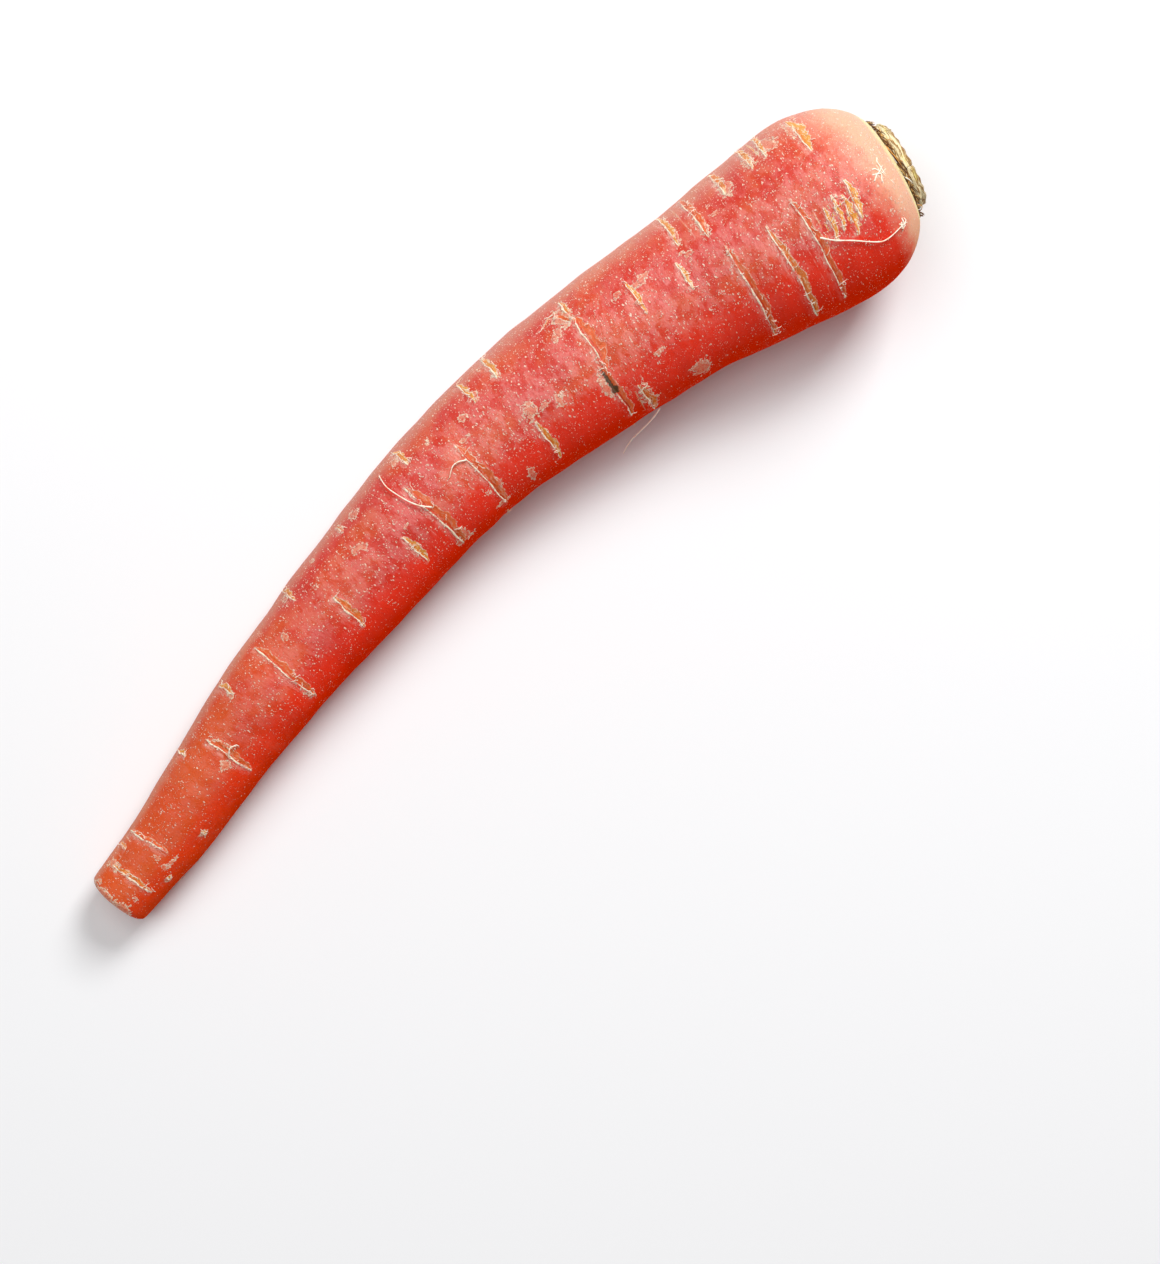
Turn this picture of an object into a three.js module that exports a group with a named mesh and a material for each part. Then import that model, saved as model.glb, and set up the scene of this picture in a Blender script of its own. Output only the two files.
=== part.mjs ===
// A trimmed red carrot lying on its side on a flat surface.
// Millimetres. +X runs from the tip to the crown, +Z is up, and the surface is z = 0.

import * as THREE from 'three';

// --- Driving dimensions ---------------------------------------------------------------------------

// Middle line of the root seen from above, [x from the tip, y]. The root bows towards +Y.
const MIDDLE_LINE = [
  [0, -3.1], [16.3, -0.9], [31.4, 2.3], [46.5, 5.5], [61.5, 7.8], [80.6, 9.9], [96, 11.6],
  [111.2, 12.2], [126.6, 11.2], [149.2, 8.0], [167.6, 4.7], [185.8, 1.2], [202.2, -2.5],
];

// Radius of the root, [distance from the tip along the middle line, radius], before its ends round off.
const GIRTH = [
  [0, 6.2], [9, 6.7], [24, 7.6], [40, 8.6], [51, 9.4], [63, 9.8], [72, 10.5], [82, 10.95],
  [97, 11.85], [112, 12.45], [128, 13.55], [143, 14.4], [162, 15.45], [173, 16.75], [188, 18.4],
  [205, 18.5],
];

const TIP_ROUNDING = 3.0; // length of the blunt, broken-off end
const TIP_POWER = 2.8;
const SHOULDER_LENGTH = 18.8; // length in which the shoulder would round off to a point
const SHOULDER_POWER = 2.8;
const CROWN_RADIUS = 11.1; // rim where the skin stops and the leaf bases start
const GAP = 0.3; // clear space between neighbouring pieces

// Growth cracks across the root: distance from the tip, first and last angle from the top towards +Y.
const CRACKS = [
  { distance: 184.0, from: -62, to: 12 },
  { distance: 178.2, from: -70, to: 6 },
  { distance: 169.8, from: -68, to: 14 },
  { distance: 139.8, from: -70, to: 58 },
  { distance: 108.3, from: -66, to: 12 },
  { distance: 97.0, from: -70, to: 15 },
];
const CRACK_DEPTH = 0.55;
const CRACK_HALF_WIDTH = 0.9;

const SEGMENTS_AROUND = 40;
const RING_STEP = 4.2;

// Leaf stalks, cut off together just above the crown.
const STALK_RINGS = [
  { count: 6, radius: 7.2, width: 3.0, height: 3.0, firstAngle: 12 },
  { count: 3, radius: 3.7, width: 2.0, height: 2.6, firstAngle: 40 },
];
const GROWING_POINT_RADIUS = 1.9;
const FIBRE_RING = { inner: 9.1, outer: 10.7, height: 1.9 };

// Rootlets: [distance from the tip, angle from the top towards +Y, clear height over the skin].
const ROOTLET_RADIUS = 0.17;
const ROOTLETS = {
  rootlet_shoulder: [
    [184.8, -17, 0.1], [187.0, -23, 0.35], [189.6, -28, 0.4], [193.8, -37, 0.35], [196.0, -39.5, 0.3],
    [198.9, -39.5, 0.2], [200.2, -40, 0.1],
  ],
  rootlet_side: [
    [144.2, -88, 0.1], [142.6, -98, 0.9], [140.9, -103, 1.6], [138.7, -107, 2.1], [136.4, -111, 3.0],
    [133.8, -115, 4.9],
  ],
  rootlet_middle_1: [[108.4, -2, 0.1], [107.0, 1, 0.3], [105.5, 2, 0.35], [103.7, -3, 0.1]],
  rootlet_middle_2: [[97.4, -9, 0.1], [96.2, 0, 0.4], [95.1, 14, 0.3], [94.7, 32, 0.6], [95.2, 54, 0.1]],
  rootlet_tip: [[36.6, -10, 0.1], [37.8, -5, 0.8], [39.0, -7, 0.5], [39.4, -12, 0.1]],
};

const SKIN_RED = { color: 0xcf4a36, roughness: 0.5 };
const FIBRE_BROWN = { color: 0x5a4630, roughness: 0.9 };
const STALK_OLIVE = { color: 0xb3a055, roughness: 0.8 };
const BUD_GREEN = { color: 0x9a9a4c, roughness: 0.8 };
const ROOTLET_CREAM = { color: 0xe6cba8, roughness: 0.7 };

// --- The root's surface ---------------------------------------------------------------------------

/** A smooth function of one number through the listed [place, value] pairs. */
function smoothThrough(pairs) {
  const slopes = pairs.map((pair, i) => {
    const before = pairs[Math.max(i - 1, 0)];
    const after = pairs[Math.min(i + 1, pairs.length - 1)];
    return (after[1] - before[1]) / (after[0] - before[0]);
  });
  return (place) => {
    const last = pairs.length - 2;
    const i = THREE.MathUtils.clamp(pairs.findIndex((pair) => pair[0] > place) - 1, 0, last);
    const k = place >= pairs[last + 1][0] ? last : i;
    const span = pairs[k + 1][0] - pairs[k][0];
    const t = THREE.MathUtils.clamp((place - pairs[k][0]) / span, 0, 1);
    const ease = t * t * (3 - 2 * t);
    const fromLeft = span * slopes[k] * t * (1 - t) * (1 - t);
    const fromRight = span * slopes[k + 1] * t * t * (1 - t);
    return pairs[k][1] * (1 - ease) + pairs[k + 1][1] * ease + fromLeft - fromRight;
  };
}

const middleLine = new THREE.CatmullRomCurve3(
  MIDDLE_LINE.map(([x, y]) => new THREE.Vector3(x, y, 0)), false, 'centripetal',
);
middleLine.arcLengthDivisions = 800;
const ROOT_LENGTH = middleLine.getLength();
const girth = smoothThrough(GIRTH);

/** Share of the girth that is left where the two ends of the root round off. */
function endRounding(distance) {
  const fromTip = THREE.MathUtils.clamp(1 - distance / TIP_ROUNDING, 0, 1);
  const rimShare = CROWN_RADIUS / girth(ROOT_LENGTH);
  const atRim = (1 - rimShare ** SHOULDER_POWER) ** (1 / SHOULDER_POWER);
  const intoShoulder = THREE.MathUtils.clamp(atRim + (distance - ROOT_LENGTH) / SHOULDER_LENGTH, 0, 1);
  const tip = (1 - fromTip ** TIP_POWER) ** (1 / TIP_POWER);
  const shoulder = (1 - intoShoulder ** SHOULDER_POWER) ** (1 / SHOULDER_POWER);
  return tip * shoulder;
}

/** Depth of the growth cracks at a place on the skin. */
function crackDepth(distance, angle) {
  return CRACKS.reduce((depth, crack) => {
    const across = Math.abs(distance - crack.distance) / CRACK_HALF_WIDTH;
    const middle = (crack.from + crack.to) / 2;
    const along = Math.abs(angle - middle) / ((crack.to - crack.from) / 2);
    return depth + CRACK_DEPTH * Math.max(0, 1 - across) * Math.sqrt(Math.max(0, 1 - along * along));
  }, 0);
}

/** Point at a radius from the middle line; the angle in degrees runs from the top towards +Y. */
function pointAround(distance, angle, radius) {
  const share = THREE.MathUtils.clamp(distance / ROOT_LENGTH, 0, 1);
  const centre = middleLine.getPointAt(share);
  const ahead = middleLine.getTangentAt(share);
  const turn = THREE.MathUtils.degToRad(angle);
  return new THREE.Vector3(
    centre.x - ahead.y * radius * Math.sin(turn),
    centre.y + ahead.x * radius * Math.sin(turn),
    girth(distance) + radius * Math.cos(turn),
  );
}

// --- Sub-parts ------------------------------------------------------------------------------------

function addMesh(group, name, geometry, finish) {
  const material = new THREE.MeshStandardMaterial({ ...finish, metalness: 0 });
  const mesh = new THREE.Mesh(geometry, material);
  mesh.name = name;
  group.add(mesh);
  return mesh;
}

/** Distances from the tip at which the root has a ring of points. */
function ringDistances() {
  const distances = [0.15, 0.6, 1.5, 2.6];
  for (let distance = TIP_ROUNDING + 0.6; distance < ROOT_LENGTH - SHOULDER_LENGTH; distance += RING_STEP) {
    const nearCrack = CRACKS.some((crack) => Math.abs(crack.distance - distance) < 2 * CRACK_HALF_WIDTH);
    if (!nearCrack) distances.push(distance);
  }
  for (const crack of CRACKS) {
    for (const side of [-1, 0, 1]) distances.push(crack.distance + side * CRACK_HALF_WIDTH);
  }
  for (const toRim of [15.5, 12.2, 9.2, 6.6, 4.5, 2.8, 1.5, 0.6, 0]) distances.push(ROOT_LENGTH - toRim);
  return distances.sort((a, b) => a - b);
}

/** The root: a turned outline, whose rings are then set along the bowed middle line. */
function taproot() {
  const outline = ringDistances().map((distance) => new THREE.Vector2(1, distance));
  outline.unshift(new THREE.Vector2(0, 0));
  outline.push(new THREE.Vector2(0, ROOT_LENGTH));
  const geometry = new THREE.LatheGeometry(outline, SEGMENTS_AROUND);
  const place = geometry.attributes.position;
  for (let i = 0; i < place.count; i += 1) {
    const distance = place.getY(i);
    const angle = THREE.MathUtils.radToDeg(Math.atan2(place.getZ(i), place.getX(i)));
    const onAxis = Math.hypot(place.getX(i), place.getZ(i));
    const radius = girth(distance) * endRounding(distance) - crackDepth(distance, angle);
    place.setXYZ(i, ...pointAround(distance, angle, radius * onAxis));
  }
  geometry.computeVertexNormals();
  return geometry;
}

/** A tube that follows the skin from place to place at the listed clear heights. */
function rootlet(places) {
  const points = places.map(([distance, angle, height]) => {
    const skin = girth(distance) * endRounding(distance);
    return pointAround(distance, angle, skin + GAP + ROOTLET_RADIUS + height);
  });
  const path = new THREE.CatmullRomCurve3(points, false, 'centripetal');
  const section = new THREE.Shape();
  section.absarc(0, 0, ROOTLET_RADIUS, 0, 2 * Math.PI);
  const steps = 3 * places.length;
  return new THREE.ExtrudeGeometry(section, {
    steps,
    curveSegments: 4,
    bevelEnabled: false,
    extrudePath: path,
  });
}

/** A ring of dried fibres, standing on the crown along +Y. */
function fibreRing({ inner, outer, height }) {
  const profile = [
    [inner, GAP], [outer, GAP], [outer + 0.1, height * 0.5], [outer - 0.4, height * 0.9],
    [inner + 0.5, height], [inner, height * 0.8], [inner, GAP],
  ];
  return new THREE.LatheGeometry(profile.map(([x, y]) => new THREE.Vector2(x, y)), 36);
}

/** One leaf stalk's base: a short clasping arc, cut off level, standing along +Y. */
function leafStalk(ring) {
  const share = Math.PI / ring.count - GAP / ring.radius;
  const inner = ring.radius - ring.width / 2;
  const outer = ring.radius + ring.width / 2;
  const section = new THREE.Shape();
  section.absarc(0, 0, outer, -share, share);
  section.absarc(0, 0, inner, share * 0.86, -share * 0.86, true);
  section.closePath();
  const bevel = 0.3;
  const geometry = new THREE.ExtrudeGeometry(section, {
    depth: ring.height - GAP - 2 * bevel,
    curveSegments: 5,
    bevelThickness: bevel,
    bevelSize: bevel,
    bevelOffset: -bevel,
    bevelSegments: 1,
  });
  geometry.rotateX(-Math.PI / 2);
  geometry.translate(0, GAP + bevel, 0);
  return geometry;
}

/** The bud in the middle of the crown. */
function growingPoint() {
  const profile = [new THREE.Vector2(0, GAP), new THREE.Vector2(GROWING_POINT_RADIUS, GAP)];
  for (const turn of [15, 35, 55, 75]) {
    const angle = THREE.MathUtils.degToRad(turn);
    const radius = GROWING_POINT_RADIUS * Math.cos(angle);
    profile.push(new THREE.Vector2(radius, GAP + GROWING_POINT_RADIUS * Math.sin(angle)));
  }
  profile.push(new THREE.Vector2(0, GAP + GROWING_POINT_RADIUS));
  return new THREE.LatheGeometry(profile, 20);
}

/** Everything that grows out of the crown, in a group whose +Y points out of the crown. */
function crown() {
  const group = new THREE.Group();
  addMesh(group, 'crown_fibres', fibreRing(FIBRE_RING), FIBRE_BROWN);
  let number = 0;
  for (const ring of STALK_RINGS) {
    for (let i = 0; i < ring.count; i += 1) {
      number += 1;
      const stalk = addMesh(group, `leaf_stalk_${number}`, leafStalk(ring), STALK_OLIVE);
      stalk.rotation.y = THREE.MathUtils.degToRad(ring.firstAngle) + (i * 2 * Math.PI) / ring.count;
    }
  }
  addMesh(group, 'growing_point', growingPoint(), BUD_GREEN);
  const outwards = middleLine.getTangentAt(1);
  group.quaternion.setFromUnitVectors(new THREE.Vector3(0, 1, 0), outwards);
  group.position.copy(pointAround(ROOT_LENGTH, 0, 0));
  return group;
}

// --- The carrot -----------------------------------------------------------------------------------

const carrot = new THREE.Group();
addMesh(carrot, 'taproot', taproot(), SKIN_RED);
carrot.add(crown());
for (const [name, places] of Object.entries(ROOTLETS)) {
  addMesh(carrot, name, rootlet(places), ROOTLET_CREAM);
}

// The origin is on the surface, under the middle of the whole.
carrot.updateMatrixWorld(true);
const box = new THREE.Box3().setFromObject(carrot, true);
const middle = box.getCenter(new THREE.Vector3());
carrot.position.set(-middle.x, -middle.y, -box.min.z);

export default carrot;
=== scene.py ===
import math

import bmesh
import bpy
import numpy as np
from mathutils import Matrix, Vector, noise


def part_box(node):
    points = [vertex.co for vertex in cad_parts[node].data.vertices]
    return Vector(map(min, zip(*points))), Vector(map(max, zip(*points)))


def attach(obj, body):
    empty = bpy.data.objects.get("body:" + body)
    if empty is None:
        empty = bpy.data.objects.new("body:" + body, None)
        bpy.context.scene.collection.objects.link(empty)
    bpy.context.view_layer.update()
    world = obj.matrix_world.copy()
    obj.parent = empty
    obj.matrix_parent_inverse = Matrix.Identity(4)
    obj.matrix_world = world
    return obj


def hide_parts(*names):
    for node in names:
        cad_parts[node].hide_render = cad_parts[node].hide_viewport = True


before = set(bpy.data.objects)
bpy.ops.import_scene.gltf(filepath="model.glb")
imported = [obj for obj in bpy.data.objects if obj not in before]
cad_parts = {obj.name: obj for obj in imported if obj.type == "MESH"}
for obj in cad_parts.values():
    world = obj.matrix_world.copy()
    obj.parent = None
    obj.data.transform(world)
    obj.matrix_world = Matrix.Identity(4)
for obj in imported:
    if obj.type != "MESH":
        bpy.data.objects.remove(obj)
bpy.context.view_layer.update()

MM = 0.001

# ------------------------------------------------------------------------------------------------
# The camera. It hangs over the table and looks straight down, turned so that the root runs from
# the lower left corner of the view, its tip, to the upper right corner, its crown.

VIEW_CENTRE = (-2.6 * MM, -29.5 * MM)  # beside the carrot, on the side it bows away from
VIEW_HEIGHT = 579 * MM
VIEW_TURN = -43.05  # degrees

lens = bpy.data.cameras.new("camera")
lens.lens = 85
lens.sensor_width = 36
camera = bpy.data.objects.new("camera", lens)
camera.location = (*VIEW_CENTRE, VIEW_HEIGHT)
camera.rotation_euler = (0, 0, math.radians(VIEW_TURN))
bpy.context.scene.collection.objects.link(camera)
bpy.context.scene.camera = camera

# ------------------------------------------------------------------------------------------------
# The table and the light. A white sweep under a wide bank of soft light overhead, a smaller
# softbox beyond the crown end, which draws the shadow past the tip, and a white room round them.

TABLE_SIZE = 6.0
TABLE_WHITE = (0.86, 0.86, 0.87)
SOFT_LIGHTS = {  # place and size in metres, power in watts
    "softbox": ((0.74, 0.23, 0.76), 0.42, 9.6),
    "light_bank": ((-0.1, 0.3, 1.05), 1.0, 7.4),
}
ROOM_LIGHT = 0.15

table_mesh = bpy.data.meshes.new("table")
half = TABLE_SIZE / 2
table_mesh.from_pydata(
    [(-half, -half, 0), (half, -half, 0), (half, half, 0), (-half, half, 0)], [], [(0, 1, 2, 3)]
)
table = bpy.data.objects.new("table", table_mesh)
bpy.context.scene.collection.objects.link(table)

table_paint = bpy.data.materials.new("table white")
table_paint.use_nodes = True
sweep = table_paint.node_tree.nodes["Principled BSDF"]
sweep.inputs["Base Color"].default_value = (*TABLE_WHITE, 1)
sweep.inputs["Roughness"].default_value = 0.9
sweep.inputs["Specular IOR Level"].default_value = 0.2
table_mesh.materials.append(table_paint)

for light_name, (place, size, power) in SOFT_LIGHTS.items():
    lamp = bpy.data.lights.new(light_name, "AREA")
    lamp.shape = "SQUARE"
    lamp.size = size
    lamp.energy = power
    stand = bpy.data.objects.new(light_name, lamp)
    stand.location = place
    stand.rotation_mode = "QUATERNION"
    stand.rotation_quaternion = (-Vector(place)).to_track_quat("-Z", "Y")
    bpy.context.scene.collection.objects.link(stand)

room = bpy.data.worlds.new("white room")
room.use_nodes = True
room.node_tree.nodes["Background"].inputs["Color"].default_value = (1, 1, 1, 1)
room.node_tree.nodes["Background"].inputs["Strength"].default_value = ROOM_LIGHT
bpy.context.scene.world = room
bpy.context.scene.view_settings.view_transform = "Standard"

# ------------------------------------------------------------------------------------------------
# The root. One solid, grown in one piece: a broad shoulder, a body that bows and tapers, and a
# blunt end where the thin tail broke off. Its thin skin has split across in many places as the
# root swelled, and each split has a pale lip on the side towards the tip.

# Middle line seen from above, (mm from the tip, mm sideways), and girth, (mm from the tip, radius).
MIDDLE_LINE = [
    (0, -3.1), (16.3, -0.9), (31.4, 2.3), (46.5, 5.5), (61.5, 7.8), (80.6, 9.9), (96, 11.6),
    (111.2, 12.2), (126.6, 11.2), (149.2, 8.0), (167.6, 4.7), (185.8, 1.2), (202.2, -2.5),
]
GIRTH = [
    (0, 6.2), (9, 6.7), (24, 7.6), (40, 8.6), (51, 9.4), (63, 9.8), (72, 10.5), (82, 10.95),
    (97, 11.85), (112, 12.45), (128, 13.55), (143, 14.4), (162, 15.45), (173, 16.75), (188, 18.4),
    (205, 18.5),
]
TIP_ROUNDING = 2.2
TIP_POWER = 3.4
SHOULDER_LENGTH = 18.8
SHOULDER_POWER = 2.8
CROWN_RADIUS = 11.1  # of the flat face that the leaves grew from

# Splits in the skin: the two ends of the pale lip, each (mm from the tip, degrees from the top
# towards +Y), the widest gap and the depth in mm, and how golden the flesh inside is, 0 to 1.
SPLITS = [
    ((184.3, -64), (184, 9), 0.8, 0.7, 0.1), ((178.3, -70), (177.7, 4), 0.95, 0.7, 0.5),
    ((169.9, -68), (169.6, 8), 0.8, 0.7, 0.1), ((139.5, -14), (139.6, 33), 1.5, 0.75, 0.1),
    ((138.9, -66), (138.3, -12), 0.9, 0.8, 0), ((139.5, 31), (139.4, 57), 0.6, 0.4, 0.7),
    ((138.9, 32), (137.1, 46), 0.6, 0.6, 0.3), ((133.4, 43), (136.4, 50), 0.4, 0.3, 0.5),
    ((108.3, -64), (108.7, 12), 1.15, 0.8, 0.15), ((96.8, -62), (96.7, 19), 1.35, 0.8, 0.1),
    ((72.3, -39), (72.6, 6), 1.05, 0.7, 0.45), ((89.3, -44), (89.6, -8), 1, 0.6, 0.8),
    ((55.7, -49), (56, 44), 1, 0.7, 0.2), ((36.7, -45), (36.9, 26), 0.95, 0.65, 0.3),
    ((7, -40), (6.2, 44), 0.65, 0.6, 0.6), ((187.6, -24), (188, -4), 0.8, 0.3, 1),
    ((189.6, -21), (190.2, 0), 0.7, 0.3, 1), ((191.4, -27), (192, -3), 1.1, 0.4, 1),
    ((193.3, -20), (193.9, 4), 1.1, 0.35, 1), ((160.7, -2), (160.7, 20), 0.6, 0.35, 1),
    ((151.2, 2), (151.1, 31), 0.7, 0.45, 1), ((162.9, 31), (163.2, 74), 0.8, 0.45, 0.8),
    ((168.2, 24), (168.1, 76), 0.9, 0.55, 0.3), ((175.2, 42), (175.4, 78), 0.9, 0.5, 0.6),
    ((181.7, 45), (181.9, 80), 0.8, 0.4, 0.7), ((184.9, 46), (185.3, 80), 0.6, 0.3, 0.8),
    ((191.8, 31), (191.6, 68), 1.7, 0.55, 0.9), ((143.4, -82), (142.7, -41), 1, 0.4, 0.4),
    ((122.7, -60), (122.7, -17), 0.95, 0.55, 0.7), ((122.6, 36), (122.3, 74), 0.8, 0.45, 0.8),
    ((116.6, 31), (116.2, 64), 0.8, 0.45, 0.9), ((100.3, 36), (100, 66), 0.9, 0.45, 0.8),
    ((67.3, 42), (67.1, 74), 0.7, 0.4, 0.7), ((46.7, 31), (46.1, 66), 0.8, 0.45, 0.8),
    ((31.9, 45), (31.4, 68), 0.6, 0.35, 0.8), ((15, -16), (13.4, 62), 0.5, 0.15, 0.2),
    ((10.2, 44), (9.9, 70), 0.5, 0.3, 0.6), ((21.5, -53), (21.6, -42), 0.6, 0.3, 0.9),
    ((11, -53), (11, -44), 0.6, 0.3, 0.9), ((83.2, 48), (82.7, 62), 0.5, 0.2, 0.4),
]
HIDDEN_SPLITS = 36  # more of them on the underside and the flanks, at random places
by_chance = np.random.default_rng(11)
for number in range(HIDDEN_SPLITS):
    where = 5 + 188 * (number + by_chance.uniform(0.1, 0.9)) / HIDDEN_SPLITS
    middle = by_chance.uniform(104, 256)
    reach = by_chance.uniform(7, 32)
    lean = by_chance.uniform(-0.5, 0.5)
    SPLITS.append((
        (where - lean, middle - reach), (where + lean, middle + reach),
        by_chance.uniform(0.5, 1.1), by_chance.uniform(0.3, 0.65), by_chance.uniform(0, 1),
    ))

# Torn, papery patches of skin: mm from the tip, degrees, half their size along and round in mm.
TORN_PATCHES = [
    (123.3, -6, 1.5, 1.7), (126, -10, 1.1, 0.6), (128.8, -14, 0.9, 1.1), (148.2, 26, 1, 0.7),
    (153.9, 25, 1, 0.9), (152.6, 24, 0.8, 0.6), (155.2, 27, 0.6, 0.4), (162.2, 24, 0.8, 0.45),
    (163.5, 20, 0.8, 0.45), (113, 28, 0.8, 0.8), (105.4, 36, 0.5, 0.7), (82, 20, 1, 0.6),
    (83.6, 17, 0.9, 0.7), (87, 50, 1.1, 1.2), (83, 54, 0.8, 1.2), (61.1, 23, 0.6, 0.9),
    (116.1, -53, 0.9, 1.7), (143.3, -56, 1.3, 3.4), (154.8, -60, 1.9, 2.2), (149.2, -26, 1, 0.6),
    (109.8, -38, 0.8, 1.1), (107, -39, 0.8, 0.6), (97.4, -60, 1.8, 0.9), (98.2, -52, 0.7, 1.6),
    (34.9, -12, 0.9, 1.1), (55.7, -45, 1, 1.3), (6.2, 46, 1, 1.6), (12.9, -11, 0.45, 0.7),
    (10.9, -49, 0.7, 0.8), (21.5, -48, 0.7, 0.8), (12.3, -28, 0.5, 0.6), (14, -33, 1.2, 0.4),
    (4, -26, 0.5, 0.7), (2.2, 48, 0.5, 0.7), (0.6, 20, 0.9, 4), (1, -20, 1, 1.8),
    (136, 31, 0.8, 1.3), (134.9, 28, 0.6, 0.7), (137.3, -27, 0.8, 2.2), (186.2, 54, 1.8, 2.6),
    (181.9, 56, 0.9, 3.2), (175.8, 47, 1.2, 2.4), (171.6, 34, 1.1, 0.4), (171.4, 42, 0.6, 0.6),
    (169.7, 5, 0.9, 0.4), (168.3, 30, 0.8, 2), (190.8, 54, 0.6, 3.4), (200, -40, 0.6, 0.5),
    (138, 40, 1.5, 2.6), (139.4, 44, 0.7, 2.6), (99, 52, 0.9, 1.2), (122.6, 42, 0.8, 1.4),
    (117.2, 36, 0.7, 1.4), (74.9, 58, 0.8, 0.6),
    (117, -8, 0.4, 0.4), (163.5, 40, 0.6, 2.2), (110.8, 12, 0.9, 0.4), (108, -60, 1.8, 0.6),
    (91.6, -3, 0.7, 0.3), (66.4, 58, 0.8, 0.8), (46.2, 34, 0.6, 0.8), (37.9, 6, 0.4, 2),
]
HIDDEN_PATCHES = 30
for number in range(HIDDEN_PATCHES):
    where = 4 + 194 * (number + by_chance.uniform(0, 1)) / HIDDEN_PATCHES
    TORN_PATCHES.append(
        (where, by_chance.uniform(98, 262), by_chance.uniform(0.5, 1.6), by_chance.uniform(0.6, 2.4))
    )

# Dark, rotten places in the longest split, listed like the patches.
ROT_SPOTS = [(138.4, -24, 0.45, 3.4), (138.6, -33, 0.9, 1.0)]


def smooth_through(pairs):
    """A smooth function of one number through the listed (place, value) pairs."""
    places, values = np.array(pairs, float).T
    slopes = np.gradient(values, places)
    slopes[1:-1] = (values[2:] - values[:-2]) / (places[2:] - places[:-2])

    def value_at(place):
        place = np.clip(place, places[0], places[-1])
        k = np.clip(np.searchsorted(places, place, side="right") - 1, 0, len(places) - 2)
        span = places[k + 1] - places[k]
        t = (place - places[k]) / span
        ease = t * t * (3 - 2 * t)
        left = span * slopes[k] * t * (1 - t) ** 2
        right = span * slopes[k + 1] * t * t * (1 - t)
        return values[k] * (1 - ease) + values[k + 1] * ease + left - right

    return value_at


sideways = smooth_through(MIDDLE_LINE)
girth = smooth_through(GIRTH)
line_x = np.linspace(0, MIDDLE_LINE[-1][0], 2000)
line_y = sideways(line_x)
line_length = np.concatenate([[0], np.cumsum(np.hypot(np.diff(line_x), np.diff(line_y)))])
ROOT_LENGTH = line_length[-1]
line_heading = np.arctan(np.gradient(line_y, line_x))


def point_around(distance, angle, radius):
    """Points at a radius from the middle line, in mm; the angle in degrees runs from the top to +Y."""
    heading = np.interp(distance, line_length, line_heading)
    across = radius * np.sin(np.radians(angle))
    x = np.interp(distance, line_length, line_x) - across * np.sin(heading)
    y = np.interp(distance, line_length, line_y) + across * np.cos(heading)
    z = girth(distance) + radius * np.cos(np.radians(angle))
    return np.stack(np.broadcast_arrays(x, y, z), axis=-1)


def end_rounding(distance):
    """Share of the girth that is left where the ends of the root round off."""
    rim_share = CROWN_RADIUS / girth(ROOT_LENGTH)
    at_rim = (1 - rim_share**SHOULDER_POWER) ** (1 / SHOULDER_POWER)
    from_tip = np.clip(1 - distance / TIP_ROUNDING, 0, 1)
    into_shoulder = np.clip(at_rim + (distance - ROOT_LENGTH) / SHOULDER_LENGTH, 0, at_rim)
    tip = (1 - from_tip**TIP_POWER) ** (1 / TIP_POWER)
    return tip * (1 - into_shoulder**SHOULDER_POWER) ** (1 / SHOULDER_POWER)


# The swellings: turns round the root, mm from one to the next along it, and mm high.
SWELLINGS = [
    (0, 46, 0.1), (0, 17, 0.06), (1, 63, 0.12), (1, 31, 0.08), (2, 52, 0.12), (2, 24, 0.08),
    (3, 37, 0.08), (3, 15, 0.05), (4, 21, 0.05), (5, 13, 0.04), (0, 7.3, 0.03), (1, 5.1, 0.03),
    (2, 8.7, 0.04), (6, 9.1, 0.03), (3, 6.3, 0.025),
]


def swellings(distance, angle):
    """The root's slow swellings and waists, in mm: waves along it, each with its turns round it."""
    waves = np.random.default_rng(5)
    height = np.zeros(np.shape(distance))
    for turns, wavelength, size in SWELLINGS:
        along, around = waves.uniform(0, 2 * math.pi, 2)
        swell = np.cos(2 * math.pi * distance / wavelength + along)
        height += size * swell * np.cos(turns * np.radians(angle) + around)
    return height


SPLIT_REACH = 3.2  # mm to each side of a lip in which the split still shows
SEARCH_REACH = 6.0  # mm to each side of a lip in which its split is looked for
FAR_OFF = 9.0  # mm, for a point with no split near it
LIP_HEIGHT, LIP_PLACE, LIP_WIDTH = 0.13, -0.22, 0.32  # mm
FAR_EDGE_HEIGHT, FAR_EDGE_PLACE, FAR_EDGE_WIDTH = 0.05, 0.15, 0.3  # mm
WAIST_SHARE = 0.3  # of a split's depth, the shallow waist that it lies in
WAIST_WIDTH = 2.4
CUT_SHARE = 0.62  # of a split's depth, the gap itself
BORDER = 0.35  # mm over which one split's colours give way to its neighbour's


def hump(away, width):
    """1 in the middle of a low round ridge, falling to 0 a few widths away from it."""
    return np.exp(-((away / width) ** 2))


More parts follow.
